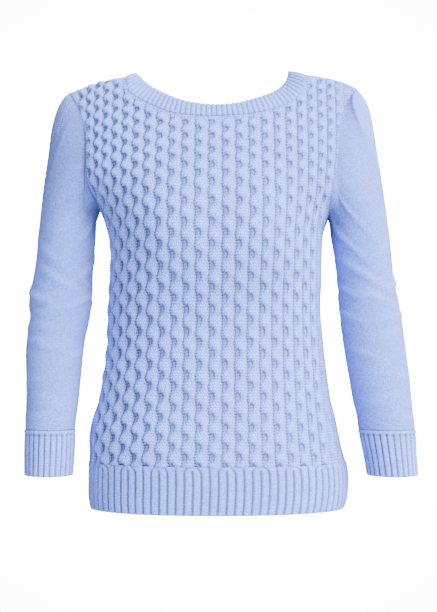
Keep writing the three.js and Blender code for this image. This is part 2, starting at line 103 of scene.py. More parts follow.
SLEEVE_L = {
  "outer": [[-521, -245.4], [-480, -245.7], [-462.5, -245.2], [-428.8, -244.4], [-397.6, -244.6], [-382, -245.4],
    [-350.8, -245.2], [-335.2, -243.2], [-318, -241], [-300, -242.6], [-280.6, -240.2], [-265, -236.8], [-249.4, -234.2],
    [-218.2, -231.3], [-179.2, -227.2], [-148, -223.6], [-116.8, -219], [-101.2, -217.1], [-77.8, -214], [-62.2, -210.6],
    [-46.6, -205.4], [-38.8, -201.3], [-31, -195.6], [-27.1, -189.8]],
  "middle": [[-521, -213.6], [-480, -212.6], [-462.5, -212.3], [-428.8, -210], [-397.6, -208.7], [-382, -208.4],
    [-350.8, -206.8], [-335.2, -204.3], [-318, -201.3], [-300, -201.2], [-280.6, -199.4], [-249.4, -195.7],
    [-215, -192.8], [-187, -190.5], [-168, -186.5], [-150, -180], [-130, -176.5], [-107, -174], [-77, -175],
    [-47, -179], [-38, -184], [-31, -188.2], [-27.1, -189.8]],
}
SLEEVE_R = {
  "outer": [[-521, 261.4], [-499, 260], [-462.5, 258.4], [-444, 256.2], [-428.8, 254.8], [-397.6, 252.2], [-366.4, 248.6],
    [-327.4, 244], [-296.2, 239], [-265, 233.2], [-233.8, 230], [-194.8, 225.3], [-163.6, 221], [-132.4, 216.4],
    [-101.2, 211.3], [-77.8, 207.8], [-62.2, 205], [-46.6, 201], [-38.8, 197.6], [-31, 193], [-26, 189], [-21.5, 184.6]],
  "middle": [[-521, 228], [-499, 225.6], [-462.5, 221.2], [-444, 219], [-428.8, 216.4], [-397.6, 212.5], [-366.4, 208.1],
    [-327.4, 203.3], [-296.2, 199.6], [-265, 195.4], [-233.8, 191.8], [-215, 189], [-194.8, 186.4], [-176, 182],
    [-158, 175], [-135, 168.5], [-101, 166], [-70, 168], [-41, 174.5], [-31, 179], [-26, 182.3], [-21.5, 184.6]],
}
ARM_DEPTH = [[-521, 37.5], [-480, 38.5], [-462.5, 39], [-400, 41.5], [-350, 44], [-300, 46.5], [-265, 47],
  [-215, 48.5], [-187, 50], [-168, 51.5], [-150, 52.5], [-130, 52.3], [-107, 50.8], [-77, 43.5], [-62, 37.5], [-47, 28.5],
  [-38, 20], [-31, 10.5], [-27.1, 2], [-21.5, 2]]
ARM_FORWARD = [[-521, -32], [-462.5, -25], [-380, -12], [-300, -1], [-215, 3], [-130, 2], [-60, 1], [-21.5, 0]]

# Creases of the sleeves: angle round the arm (0 outside, 90 degrees in front), height, lean,
# half length and width along the cloth, and how far each stands out.
CREASES_RIGHT = [
    (0.7, -292, -0.30, 34, 7.0, 2.6), (1.1, -312, 0.25, 30, 6.0, 2.2), (0.5, -330, 0.10, 30, 7.0, 1.8),
    (1.6, -272, -0.45, 36, 7.5, 2.0), (2.3, -300, 0.35, 30, 6.5, 2.2), (2.6, -258, 0.60, 34, 8.0, 1.9),
    (2.7, -200, 0.85, 36, 8.0, 2.2), (2.2, -168, 1.05, 34, 8.0, 1.6), (1.0, -236, -0.55, 38, 9.0, 1.1),
    (1.2, -352, -0.20, 32, 8.0, 1.5), (2.2, -372, 0.30, 30, 8.0, 1.4), (0.9, -398, 0.20, 30, 9.0, 1.1),
    (1.8, -428, -0.15, 34, 9.0, 1.0), (0.8, -446, 0.10, 26, 6.0, 1.1),
    (3.9, -296, 0.20, 34, 7.5, 2.2), (4.6, -270, -0.30, 34, 8.0, 1.8), (5.3, -318, 0.25, 34, 7.5, 2.0),
    (4.2, -340, -0.15, 34, 8.0, 1.6), (4.0, -208, -0.80, 36, 8.5, 2.0), (5.0, -400, 0.20, 34, 9.0, 1.2),
]
CREASES_LEFT = [
    (0.6, -278, -0.25, 34, 7.5, 2.2), (1.2, -296, 0.30, 32, 6.5, 2.2), (0.6, -318, -0.10, 30, 7.0, 1.9),
    (1.8, -262, 0.50, 34, 8.0, 1.9), (2.4, -286, 0.40, 30, 6.5, 2.1), (2.6, -316, 0.30, 30, 7.0, 1.8),
    (2.6, -206, 0.90, 36, 8.0, 2.2), (2.1, -176, 1.10, 34, 8.0, 1.6), (1.0, -232, -0.50, 38, 9.0, 1.1),
    (1.3, -342, -0.25, 32, 8.0, 1.5), (2.0, -366, 0.25, 30, 8.0, 1.4), (0.9, -392, 0.20, 30, 9.0, 1.2),
    (1.9, -424, -0.20, 34, 9.0, 1.0), (0.8, -446, 0.10, 26, 6.0, 1.1),
    (3.9, -290, 0.20, 34, 7.5, 2.2), (4.6, -264, -0.30, 34, 8.0, 1.8), (5.3, -312, 0.25, 34, 7.5, 2.0),
    (4.2, -336, -0.15, 34, 8.0, 1.6), (4.0, -208, -0.80, 36, 8.5, 2.0), (5.0, -396, 0.20, 34, 9.0, 1.2),
]


# ------------------------------------------------------------------ curves
def curve(rows):
    r = np.array(rows, float)
    x, y = r[:, 0], r[:, 1:]
    n = len(x)
    h = np.diff(x)[:, None]
    d = np.diff(y, axis=0) / h
    m = np.empty_like(y)
    m[0], m[-1] = d[0], d[-1]
    m[1:-1] = (d[:-1] * h[1:] + d[1:] * h[:-1]) / (h[:-1] + h[1:])

    def f(q):
        q = np.clip(np.asarray(q, float), x[0], x[-1])
        i = np.clip(np.searchsorted(x, q) - 1, 0, n - 2)
        hh = (x[i + 1] - x[i])[..., None]
        u = (q - x[i])[..., None] / hh
        o = ((2 * u**3 - 3 * u**2 + 1) * y[i] + (u**3 - 2 * u**2 + u) * m[i] * hh
             + (-2 * u**3 + 3 * u**2) * y[i + 1] + (u**3 - u**2) * m[i + 1] * hh)
        return o[..., 0] if y.shape[1] == 1 else o
    return f


def path(points):
    p = np.array(points, float)
    along = np.concatenate([[0], np.cumsum(np.linalg.norm(np.diff(p, axis=0), axis=1))])
    raw = curve(np.column_stack([along, p]))
    a = np.linspace(0, along[-1], 401)
    length = np.concatenate([[0], np.cumsum(np.linalg.norm(np.diff(raw(a), axis=0), axis=1))])
    return lambda u: raw(np.interp(np.asarray(u, float) * length[-1], length, a))


side_l, side_r = curve(SIDE_L), curve(SIDE_R)
depth_f, depth_b, shoulder = curve(DEPTH_F), curve(DEPTH_B), curve(SHOULDER)


def body_depth(x, z, depth, bust):
    lo, hi = side_l(z), side_r(z)
    across = np.minimum(1, np.abs(x - (lo + hi) / 2) / ((hi - lo) / 2))
    up = np.clip((shoulder(x) - z) / ROLL, 0, 1)
    section = np.maximum(0, 1 - across**EXPO) ** (1 / EXPO)
    roll = np.maximum(0, 1 - (1 - up) ** EXPO) ** (1 / EXPO)
    b = 1.0
    if bust:
        b = 1 + BUST["gain"] * np.exp(-(((np.abs(x) - BUST["x"]) / BUST["rx"]) ** 2) - ((z - BUST["z"]) / BUST["rz"]) ** 2)
    return depth(z) * section * roll * b


spread = curve([[-0.2, 1], [-0.1, 1], [0, 0.985], [0.09, 0.9], [0.2, 0.77], [0.3, 0.7], [0.45, 0.665], [0.65, 0.66], [0.85, 0.7], [1, 0.76]])


def column_at(s, t):
    k = np.minimum(1, spread((t - T_ARM) / (1 - T_ARM)))
    return np.sin(k * s * np.pi / 2) / np.sin(k * np.pi / 2)


def body_panel(neck, arm_l, arm_r, depth, sign):
    neck_at, arm_l_at, arm_r_at = path(neck), path(arm_l), path(arm_r)
    tip_l, tip_r = arm_l[-1], arm_r[-1]

    def edge(side, arm, arm_at, t):
        upper = arm_at(np.clip((t - T_ARM) / (1 - T_ARM), 0, 1))
        z = Z_HEM_SEAM + (arm[0][1] - Z_HEM_SEAM) * t / T_ARM
        return np.where((t >= T_ARM)[..., None], upper, np.stack([side(z), z], -1))

    def top(s):
        u = (1 - np.abs(s)) / (1 - S_NECK)
        x = np.where(s < 0, tip_l[0] + (neck[0][0] - tip_l[0]) * u, tip_r[0] + (neck[-1][0] - tip_r[0]) * u)
        return np.where((np.abs(s) <= S_NECK)[..., None], neck_at(np.clip((s / S_NECK + 1) / 2, 0, 1)), np.stack([x, shoulder(x)], -1))

    def at(s, t):
        s, t = np.broadcast_arrays(np.asarray(s, float), np.asarray(t, float))
        lo, hi = edge(side_l, arm_l, arm_l_at, t), edge(side_r, arm_r, arm_r_at, t)
        w, w1 = (column_at(s, t) + 1) / 2, (column_at(s, np.ones_like(t)) + 1) / 2
        b, e = np.maximum(0, (t - 0.3) / 0.7) ** 3, top(s)
        x = lo[..., 0] + (hi[..., 0] - lo[..., 0]) * w + b * b * (e[..., 0] - tip_l[0] - (tip_r[0] - tip_l[0]) * w1)
        z = lo[..., 1] + (hi[..., 1] - lo[..., 1]) * w + b * (e[..., 1] - tip_l[1] - (tip_r[1] - tip_l[1]) * w1)
        y = sign * body_depth(x, z, depth, sign < 0)
        flat = ((np.abs(s) > 1 - 1e-9) & (t <= T_ARM + 1e-9)) | ((t > 1 - 1e-9) & (np.abs(s) >= S_NECK - 1e-9))
        return np.stack([x, np.where(flat, 0, y), z], -1)
    return at


front_at = body_panel(NECK_F, ARM_FL, ARM_FR, depth_f, -1)
back_at = body_panel(NECK_B, ARM_BL, ARM_BR, depth_b, 1)


def t_at(j):
    j = np.asarray(j, float)
    return np.where(j <= SIDE_ROWS, j / ROWS, T_ARM + (1 - T_ARM) * (1 - np.maximum(0, 1 - (j - SIDE_ROWS) / ARM_ROWS) ** 1.45))


arm_depth, arm_forward = curve(ARM_DEPTH), curve(ARM_FORWARD)


def tube(form):
    outer, middle = curve(form["outer"]), curve(form["middle"])
    sgn = np.sign(form["outer"][0][1])

    def at(angle, z):
        angle, z = np.broadcast_arrays(angle, z)
        m, o, b = middle(z), outer(z), arm_depth(z)
        return np.stack([m + (o - m) * np.cos(angle), arm_forward(z) - b * np.sin(angle), z], -1)

    def angle_of(p):
        m = middle(p[..., 2])
        a, b = np.maximum(2, np.abs(outer(p[..., 2]) - m)), np.maximum(2, arm_depth(p[..., 2]))
        return np.arctan2((arm_forward(p[..., 2]) - p[..., 1]) / b, (p[..., 0] - m) / a * sgn)
    return at, angle_of


def sleeve_seam(side, k):
    """The armhole, from the shoulder point through the front to the underarm and up the back."""
    k = np.asarray(k, float)
    s = np.full_like(k, side)
    f, b = front_at(s, t_at(ROWS - np.minimum(k, ARM_ROWS))), back_at(s, t_at(ROWS - np.minimum(2 * ARM_ROWS - k, ARM_ROWS)))
    return np.where((k <= ARM_ROWS)[..., None], f, b)


def sleeve_grid(form, side, nk, nj):
    at, angle_of = tube(form)
    n = 2 * ARM_ROWS
    kc = np.arange(n + 1.0)
    turn_c = kc / n * 2 * np.pi
    start_c = angle_of(sleeve_seam(side, kc))
    start_c = np.where(start_c < 0, start_c + 2 * np.pi, start_c)
    start_c[0], start_c[n], start_c[ARM_ROWS] = 0, 2 * np.pi, np.pi
    outer_c = (np.cos(turn_c) > np.cos(start_c)).astype(float)
    k = np.linspace(0, n, nk + 1)
    turn = k / n * 2 * np.pi
    start = curve(np.column_stack([kc, start_c]))(k)
    outer_w = np.interp(k, kc, outer_c)
    seam = sleeve_seam(side, k)
    j = np.linspace(0, CAP_RINGS + TUBE_RINGS, nj + 1)
    K, J = np.meshgrid(np.arange(nk + 1), j, indexing="ij")
    v = np.minimum(1, J / CAP_RINGS) ** 1.6
    z = seam[K, 2] + (Z_SLEEVE_RING - seam[K, 2]) * v
    e1, e2 = 1 - (1 - v) ** 2.5, v * v * (3 - 2 * v)
    ease = outer_w[K] * e1 + (1 - outer_w[K]) * e2
    on = at(start, seam[:, 2])
    p = at(start[K] + (turn[K] - start[K]) * ease, z) + (seam - on)[K] * ((1 - v) ** 2)[..., None]
    low = at(turn[K], Z_SLEEVE_RING + (Z_CUFF_SEAM - Z_SLEEVE_RING) * (J - CAP_RINGS) / TUBE_RINGS)
    g = np.where((J > CAP_RINGS)[..., None], low, p)
    g[-1] = g[0]
    return g


# ------------------------------------------------------------------ meshes
def normals(g, ring, out_of):
    """Unit normals of a grid; out_of(g) gives a point inside the hollow for each vertex."""
    if ring:
        e = np.concatenate([g[-2:-1], g, g[1:2]])
        du = e[2:] - e[:-2]
    else:
        du = np.gradient(g, axis=0)
    n = np.cross(du, np.gradient(g, axis=1))
    n /= np.maximum(1e-9, np.linalg.norm(n, axis=-1, keepdims=True))
    if np.mean(np.sum(n * (g - out_of(g)), -1)) < 0:
        n = -n
    # A little smoothing, so that bunched columns don't pinch.
    for _ in range(2):
        m = n.copy()
        m[1:-1] += 0.5 * (n[:-2] + n[2:])
        m[:, 1:-1] += 0.5 * (n[:, :-2] + n[:, 2:])
        if ring:
            m[0] += 0.5 * (n[1] + n[-2])
            m[-1] = m[0]
        n = m / np.maximum(1e-9, np.linalg.norm(m, axis=-1, keepdims=True))
    return n


def body_middle(g):
    o = np.zeros_like(g)
    o[..., 2] = np.minimum(g[..., 2] - 4, -60)
    return o


def arm_middle(form):
    mid = curve(form["middle"])

    def f(g):
        return np.stack([mid(g[..., 2]), arm_forward(g[..., 2]), g[..., 2] - 4], -1)
    return f


def steps(g, axis):
    d = np.linalg.norm(np.diff(g, axis=axis), axis=-1)
    z = np.zeros_like(np.take(g[..., 0], [0], axis=axis))
    return np.concatenate([z, np.cumsum(d, axis=axis)], axis=axis)


def rounded(g, ring, edges, reach=2.2, drop=0.35):
    """How far the cloth turns in beside its seams: a narrow groove, in millimetres."""
    u, v = steps(g, 0), steps(g, 1)
    d = np.full(g.shape[:2], 99.0)
    if "b" in edges:
        d = np.minimum(d, v)
    if "t" in edges:
        d = np.minimum(d, v[:, -1:] - v)
    if not ring and "l" in edges:
        d = np.minimum(d, u)
    if not ring and "r" in edges:
        d = np.minimum(d, u[-1:] - u)
    k = np.clip(1 - d / reach, 0, 1)
    return -drop * k * k


def draw_back(g, n, ring, edges, seam=0.04):
    g = g.copy()
    for e, sl, nb in (("b", np.s_[:, 0], np.s_[:, 1]), ("t", np.s_[:, -1], np.s_[:, -2]), ("l", np.s_[0], np.s_[1]), ("r", np.s_[-1], np.s_[-2])):
        if e in edges and not (ring and e in "lr"):
            d = g[nb] - g[sl]
            g[sl] += d / np.maximum(1e-9, np.linalg.norm(d, axis=-1, keepdims=True)) * np.minimum(seam, 0.3 * np.linalg.norm(d, axis=-1, keepdims=True))
    return g


def cloth(name, g, n, lift, wall, ring, uv, attrs, material, coarse=4, seams="", inner_lift=None):
    """One closed cloth piece: a fine outer face, a coarser inner face and rims between them."""
    g = draw_back(g, n, ring, seams)
    outer = g + n * lift[..., None]
    inner = (g - n * wall)[::coarse, ::coarse]
    nu, nv = g.shape[0] - 1, g.shape[1] - 1
    mu, mv = inner.shape[0] - 1, inner.shape[1] - 1
    assert mu * coarse == nu and mv * coarse == nv, name
    cu, cmu = (nu, mu) if ring else (nu + 1, mu + 1)
    vo, vi = outer[:cu].reshape(-1, 3), inner[:cmu].reshape(-1, 3)
    base = len(vo)
    verts = np.concatenate([vo, vi]) / 1000
    io = lambda i, j: (np.asarray(i) % cu if ring else np.asarray(i)) * (nv + 1) + j
    ii = lambda i, j: base + (np.asarray(i) % cmu if ring else np.asarray(i)) * (mv + 1) + j
    I, J = np.meshgrid(np.arange(nu), np.arange(nv), indexing="ij")
    q1 = np.stack([io(I, J), io(I + 1, J), io(I + 1, J + 1), io(I, J + 1)], -1).reshape(-1, 4)
    I2, J2 = np.meshgrid(np.arange(mu), np.arange(mv), indexing="ij")
    q2 = np.stack([ii(I2, J2 + 1), ii(I2 + 1, J2 + 1), ii(I2 + 1, J2), ii(I2, J2)], -1).reshape(-1, 4)
    rims = []
    for k in range(mu):
        a = [int(io(k * coarse + c, 0)) for c in range(coarse, -1, -1)]
        rims.append(a + [int(ii(k, 0)), int(ii(k + 1, 0))])
        a = [int(io(k * coarse + c, nv)) for c in range(coarse + 1)]
        rims.append(a + [int(ii(k + 1, mv)), int(ii(k, mv))])
    if not ring:
        for k in range(mv):
            a = [int(io(0, k * coarse + c)) for c in range(coarse + 1)]
            rims.append(a + [int(ii(0, k + 1)), int(ii(0, k))])
            a = [int(io(nu, k * coarse + c)) for c in range(coarse, -1, -1)]
            rims.append(a + [int(ii(mu, k)), int(ii(mu, k + 1))])
    # Which way round: the outer face must look along its normals.
    a, b, c, d = (outer.reshape(-1, 3) if not ring else outer[:cu].reshape(-1, 3))[q1[len(q1) // 2 + nv // 3]]
    flip = np.dot(np.cross(b - a, d - a), n[:cu].reshape(-1, 3)[q1[len(q1) // 2 + nv // 3][0]]) < 0
    if flip:
        q1, q2, rims = q1[:, ::-1], q2[:, ::-1], [r[::-1] for r in rims]
    me = bpy.data.meshes.new(name)
    loops = np.concatenate([q1.ravel(), q2.ravel(), np.array([v for r in rims for v in r])]).astype(np.int32)
    counts = np.concatenate([np.full(len(q1) + len(q2), 4), np.array([len(r) for r in rims])]).astype(np.int32)
    starts = np.concatenate([[0], np.cumsum(counts)[:-1]]).astype(np.int32)
    me.vertices.add(len(verts))
    me.vertices.foreach_set("co", verts.astype(np.float32).ravel())
    me.loops.add(len(loops))
    me.loops.foreach_set("vertex_index", loops)
    me.polygons.add(len(counts))
    me.polygons.foreach_set("loop_start", starts)
    me.polygons.foreach_set("loop_total", counts)
    smooth = np.ones(len(counts), bool)
    smooth[len(q1) + len(q2):] = False
    me.polygons.foreach_set("use_smooth", smooth)
    # UVs per loop; the last column of a ring keeps its own value.
    full = np.stack([uv[0], uv[1]], -1)
    U = np.zeros((len(loops), 2), np.float32)
    quad = np.stack([full[I, J], full[I + 1, J], full[I + 1, J + 1], full[I, J + 1]], 2).reshape(-1, 4, 2)
    cf = full[::coarse, ::coarse]
    quad2 = np.stack([cf[I2, J2 + 1], cf[I2 + 1, J2 + 1], cf[I2 + 1, J2], cf[I2, J2]], 2).reshape(-1, 4, 2)
    if flip:
        quad, quad2 = quad[:, ::-1], quad2[:, ::-1]
    U[: quad.size // 2] = quad.reshape(-1, 2)
    U[quad.size // 2: quad.size // 2 + quad2.size // 2] = quad2.reshape(-1, 2)
    flat_o, flat_i = full[:cu].reshape(-1, 2), cf[:cmu].reshape(-1, 2)
    allv = np.concatenate([flat_o, flat_i])
    rest = quad.size // 2 + quad2.size // 2
    U[rest:] = allv[loops[rest:]]
    layer = me.uv_layers.new(name="UVMap")
    layer.data.foreach_set("uv", U.ravel())
    # Each attribute takes one value on the inner face; the shade of 0.8 given there is painted shade inside the hollow.
    for key, (vals, inner_value) in attrs.items():
        at = me.attributes.new(key, "FLOAT", "POINT")
        full_v = np.concatenate([vals[:cu].ravel(), np.full(len(vi), inner_value)]).astype(np.float32)
        at.data.foreach_set("value", full_v)
    me.update(calc_edges=True)
    me.validate()
    ob = bpy.data.objects.new(name, me)
    bpy.context.scene.collection.objects.link(ob)
    me.materials.append(material)
    area = 0.0
    d1, d2 = g[1:, 1:] - g[:-1, :-1], g[1:, :-1] - g[:-1, 1:]
    area = float(np.sum(np.linalg.norm(np.cross(d1, d2), axis=-1)) / 2) / 1e6
    return ob, area


# ------------------------------------------------------------------ materials
class E:
    """A value in a shader: + - * / and a few functions make math nodes."""
    tree = None

    def __init__(self, socket):
        self.s = socket

    @staticmethod
    def op(kind, *args):
        n = E.tree.nodes.new("ShaderNodeMath")
        n.operation = kind
        for i, a in enumerate(args):
            if isinstance(a, E):
                E.tree.links.new(a.s, n.inputs[i])
            else:
                n.inputs[i].default_value = float(a)
        return E(n.outputs[0])

    def __add__(a, b): return E.op("ADD", a, b)
    def __radd__(a, b): return E.op("ADD", b, a)
    def __sub__(a, b): return E.op("SUBTRACT", a, b)
    def __rsub__(a, b): return E.op("SUBTRACT", b, a)
    def __mul__(a, b): return E.op("MULTIPLY", a, b)
    def __rmul__(a, b): return E.op("MULTIPLY", b, a)
    def __truediv__(a, b): return E.op("DIVIDE", a, b)


def fract(a): return E.op("FRACT", a)
def floor(a): return E.op("FLOOR", a)
def absv(a): return E.op("ABSOLUTE", a)
def cosv(a): return E.op("COSINE", a)
def expv(a): return E.op("EXPONENT", a)
def power(a, b): return E.op("POWER", a, b)
def vmin(a, b): return E.op("MINIMUM", a, b)
def vmax(a, b): return E.op("MAXIMUM", a, b)


def stitches(wale, row):
    """Height of V stitches: one wale and one row per unit."""
    p = fract(wale)
    d = absv(p - 0.5)
    leg = 0.5 + 0.5 * cosv(6.2832 * (row + d * 1.3))
    groove = power(vmax(0.0, 1.0 - power(absv(2.0 * d), 5.0)), 0.6)
    middle = 1.0 - 0.45 * expv(-1.0 * power(absv(d * 9.0), 2.0))
    return (0.3 + 0.7 * leg) * groove * middle


def knit(name, rgb, kind, depth=1.0):
    m = bpy.data.materials.new(name)
    m.use_nodes = True
    t = m.node_tree
    E.tree = t
    bsdf = next(n for n in t.nodes if n.type == "BSDF_PRINCIPLED")
    uv = t.nodes.new("ShaderNodeUVMap")
    uv.uv_map = "UVMap"
    sep = t.nodes.new("ShaderNodeSeparateXYZ")
    t.links.new(uv.outputs["UV"], sep.inputs[0])
    u, v = E(sep.outputs[0]), E(sep.outputs[1])
    if kind == "cable":
        # u counts cable lines, v counts half cables; stitches follow each rope.
        att = t.nodes.new("ShaderNodeAttribute")
        att.attribute_name = "row_mm"
        n = floor(u)
        shift = -0.16 * cosv(3.14159 * (v + n))
        row = E(att.outputs["Fac"])
        h = stitches((u - n - 0.5 - shift) * 4.0, row / 3.6)
        across = (absv(fract(u + 0.5) - 0.5)) / 0.062
        # Painted shade: a dotted dark line along each cable line, in the ladder openings.
        ladder_shade = expv(-1.0 * across * across) * (0.5 + 0.5 * cosv(row * (6.2832 / 3.6)))
        # Painted shadow: a thin dark arc where one rope passes under the next, once every two half cables.
        near = floor(u + 0.4)
        odd = fract((near + 1.0) * 0.5) * 2.0
        ex = (u - near - 0.19) / 0.18
        ey = (v - (floor((v - odd) * 0.5 + 0.5) * 2.0 + odd)) / 0.46
        ring = (power(ex * ex + ey * ey, 0.5) - 1.0) / 0.24
        arc_shadow = expv(-1.0 * ring * ring) * vmax(0.0, 0.35 - 0.45 * ey + 0.75 * ex)
    else:
        h = stitches(u, v)
    shade = t.nodes.new("ShaderNodeAttribute")
    shade.attribute_name = "shade"
    coord = t.nodes.new("ShaderNodeTexCoord")
    fine = t.nodes.new("ShaderNodeTexNoise")
    fine.inputs["Scale"].default_value = 430.0
    fine.inputs["Detail"].default_value = 4.0
    fine.inputs["Roughness"].default_value = 0.65
    t.links.new(coord.outputs["Object"], fine.inputs["Vector"])
    broad = t.nodes.new("ShaderNodeTexNoise")
    broad.inputs["Scale"].default_value = 24.0
    broad.inputs["Detail"].default_value = 3.0
    t.links.new(coord.outputs["Object"], broad.inputs["Vector"])
    fleck, tone = E(fine.outputs["Fac"]), E(broad.outputs["Fac"])
    # Painted light and shade: stitch tops lighter and grooves darker by stitch height, times the painted shade of the
    # shade attribute; fleck and tone are the yarn's own heather.
    lo = 0.50 if kind == "cable" else 0.58
    shade_and_heather = (lo + (1.16 - lo) * h) * E(shade.outputs["Fac"]) * vmax(0.4, 0.20 + 1.60 * fleck) * (0.90 + 0.20 * tone)
    if kind == "cable":
        # Painted shade of the ladder dots and painted shadow of the arcs.
        shade_and_heather = shade_and_heather * (1.0 - 0.80 * ladder_shade) * (1.0 - 0.40 * arc_shadow)
    comb = t.nodes.new("ShaderNodeCombineXYZ")
    for i, c in enumerate(rgb):
        # Deeper tones are a little greyer than lit ones.
        e = power(vmax(0.02, shade_and_heather), (0.90, 1.0, 1.20)[i]) * c
        t.links.new(e.s, comb.inputs[i])
    t.links.new(comb.outputs[0], bsdf.inputs["Base Color"])
    bump = t.nodes.new("ShaderNodeBump")
    bump.inputs["Strength"].default_value = 0.85 * depth
    bump.inputs["Distance"].default_value = 0.0012
    t.links.new((h + 0.35 * fleck).s, bump.inputs["Height"])
    t.links.new(bump.outputs["Normal"], bsdf.inputs["Normal"])
    rough = 0.99 - 0.12 * h
    t.links.new(rough.s, bsdf.inputs["Roughness"])
    bsdf.inputs["Specular IOR Level"].default_value = 0.15
    bsdf.inputs["Sheen Weight"].default_value = 0.05
    bsdf.inputs["Sheen Roughness"].default_value = 0.55
    bsdf.inputs["Sheen Tint"].default_value = (0.72, 0.82, 1.0, 1.0)
    m.diffuse_color = (*rgb, 1)
    return m


# One yarn in three stitches; the plain knit is given a darker colour than the cable knit, painted shade for the sleeves
# and back that wear it.
CABLE = knit("cable_wool", (0.165, 0.270, 0.935), "cable")
PLAIN = knit("plain_wool", (0.136, 0.224, 0.815), "plain")
RIB = knit("rib_wool", (0.158, 0.258, 0.905), "rib", 0.8)


def flat_pieces(ob, area, name, w, l):
    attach(ob, "root")
    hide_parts(name)
    print("SHEET", name, round(w, 4), round(l, 4), round(area, 5))


def crease(angle, z, radius, a0, z0, slope, length, width, amp):
    """A soft crease on a tube: along the way round from a0, leaning by slope, with a hollow beside it."""
    w = (angle - a0 + np.pi) % (2 * np.pi) - np.pi
    s = w * radius
    d = (z - z0 - slope * s) / width
    return amp * (1 - 0.9 * np.clip(d, -2.5, 2.5) ** 2) * np.exp(-d * d * 0.8) * np.exp(-((s / length) ** 2))


# ------------------------------------------------------------------ cabled front
CABLE_PITCH = curve([[-566, 17.4], [-505, 17.1], [-450, 16.6], [-380, 16.2], [-300, 16.2], [-230, 16.8], [-165, 17.4], [-120, 17.2], [-70, 17.0], [0, 17.0]])
# Heights of the cable crossings, from the shoulders down; whole numbers count half cables.
DROP = [18, 24.5, 32.3, 40.1, 47.9, 56.4, 64.8, 73.3, 83, 90.8, 101.2, 109, 120.7, 129.8, 142.2, 154.5, 167.5, 180.5,
        195.4, 209.8, 224.7, 238.4, 253.3, 266.9, 281.9, 294.9, 310.5, 323.5, 339.8, 352.1, 367.7, 381.4,
        396.3, 409.3, 424.3, 437.3, 450.9, 463.9, 476.9, 489.9, 502.9]


def level_arc():
    """Signed length round the front from the middle, at each height."""
    zs = np.linspace(-566, -66, 126)
    xs = np.linspace(-200, 200, 1601)
    X, Z = np.meshgrid(xs, zs, indexing="ij")
    lo, hi = side_l(Z), side_r(Z)
    Xc = np.clip(X, lo + 0.3, hi - 0.3)
    Y = body_depth(Xc, Z, depth_f, True)
    ds = np.hypot(np.diff(Xc, axis=0), np.diff(Y, axis=0))
    a = np.concatenate([np.zeros((1, len(zs))), np.cumsum(ds, axis=0)])
    mid = np.array([np.interp(0.8, xs, a[:, i]) for i in range(len(zs))])
    return xs, zs, a - mid


ARC_X, ARC_Z, ARC = level_arc()


def arc_at(x, z):
    fi = np.clip((x - ARC_X[0]) / (ARC_X[1] - ARC_X[0]), 0, len(ARC_X) - 1.001)
    fj = np.clip((z - ARC_Z[0]) / (ARC_Z[1] - ARC_Z[0]), 0, len(ARC_Z) - 1.001)
    i, j = fi.astype(int), fj.astype(int)
    a, b = fi - i, fj - j
    return (ARC[i, j] * (1 - a) + ARC[i + 1, j] * a) * (1 - b) + (ARC[i, j + 1] * (1 - a) + ARC[i + 1, j + 1] * a) * b


def smooth(x, a, b):
    k = np.clip((x - a) / (b - a), 0, 1)
    return k * k * (3 - 2 * k)


def underarm_shade(g):
    """Painted shade: the cloth is darker where sleeve and body meet under the arm."""
    out = np.ones(g.shape[:2])
    for q in (ARM_FL[0], ARM_FR[0]):
        d = np.sqrt((g[..., 0] - q[0]) ** 2 + (0.45 * g[..., 1]) ** 2 + (0.75 * (g[..., 2] - q[1] + 4)) ** 2)
        out *= 1 - 0.55 * np.exp(-((d / 17) ** 2))
    return out


def cables(c, h, zmm, shade_strength):
    """Relief from 0 to 1 and shade; c counts cable lines across, h half cables down."""
    top = np.zeros_like(c)
    n = np.floor(c)
    for m in (n - 1, n, n + 1):
        pod = np.cos(np.pi * (h + m))
        centre = m + 0.5 - 0.16 * pod
        d = np.abs(c - centre)
        top = np.maximum(top, (1 - np.minimum(1, d / 0.60) ** 2.1) * (0.86 + 0.14 * pod))
    near = np.round(c - 0.1)
    odd = (near + 1) % 2
    k = 2 * np.round((h - odd) / 2) + odd
    ex, ey = (c - near - 0.18) / 0.175, (h - k) / 0.42
    e = np.sqrt(ex * ex + ey * ey)
    hollow = np.clip(1 - e, 0, 1)
    arch = np.exp(-(((e - 1.0) / 0.30) ** 2)) * np.clip(0.40 - 0.60 * ey + 0.65 * ex, 0, 1)
    line = np.exp(-(((c - near) / 0.065) ** 2))
    ladder_shade = line * (0.5 + 0.5 * np.cos(2 * np.pi * zmm / 3.6))
    relief = top - 0.12 * np.minimum(1, hollow * 2) - 0.48 * arch - 0.30 * line * np.clip(e - 0.6, 0, 1)
    # Painted shade: a shadow arc on the upper and right rim of each eye, darker eyes, dark lines with ladder dots
    # between the ropes, and darker valleys beside the ropes.
    painted_shade = [0.42 * np.clip(arch, 0, 1), 0.10 * np.minimum(1, hollow * 1.5), 0.20 * line + 0.12 * ladder_shade, 0.48 * (1 - top)]
    shade = np.ones_like(c)
    for d in painted_shade:
        shade = shade * (1 - d * shade_strength)
    return relief, np.clip(shade * 1.10, 0.14, 1.12)


NU, NV = 264, 336
s, t = np.linspace(-1, 1, NU + 1)[:, None], t_at(np.linspace(0, ROWS, NV + 1))[None]
g = front_at(s, t)
n = normals(g, False, body_middle)
u_arc = arc_at(g[..., 0], g[..., 2])
c = u_arc / CABLE_PITCH(g[..., 2]) * (1 + 0.12 * (u_arc / 160) ** 2 * smooth(g[..., 2], -230, -130)) - 0.5
zc = g[..., 2]
drop = 304 - (zc + 304) * 2500 / (2500 + g[..., 1])
h = np.interp(drop, DROP, np.arange(len(DROP)) - 6.0)
h = np.where(drop < DROP[0], -6 + (drop - DROP[0]) / 7.15, np.where(drop > DROP[-1], 34 + (drop - DROP[-1]) / 13, h))
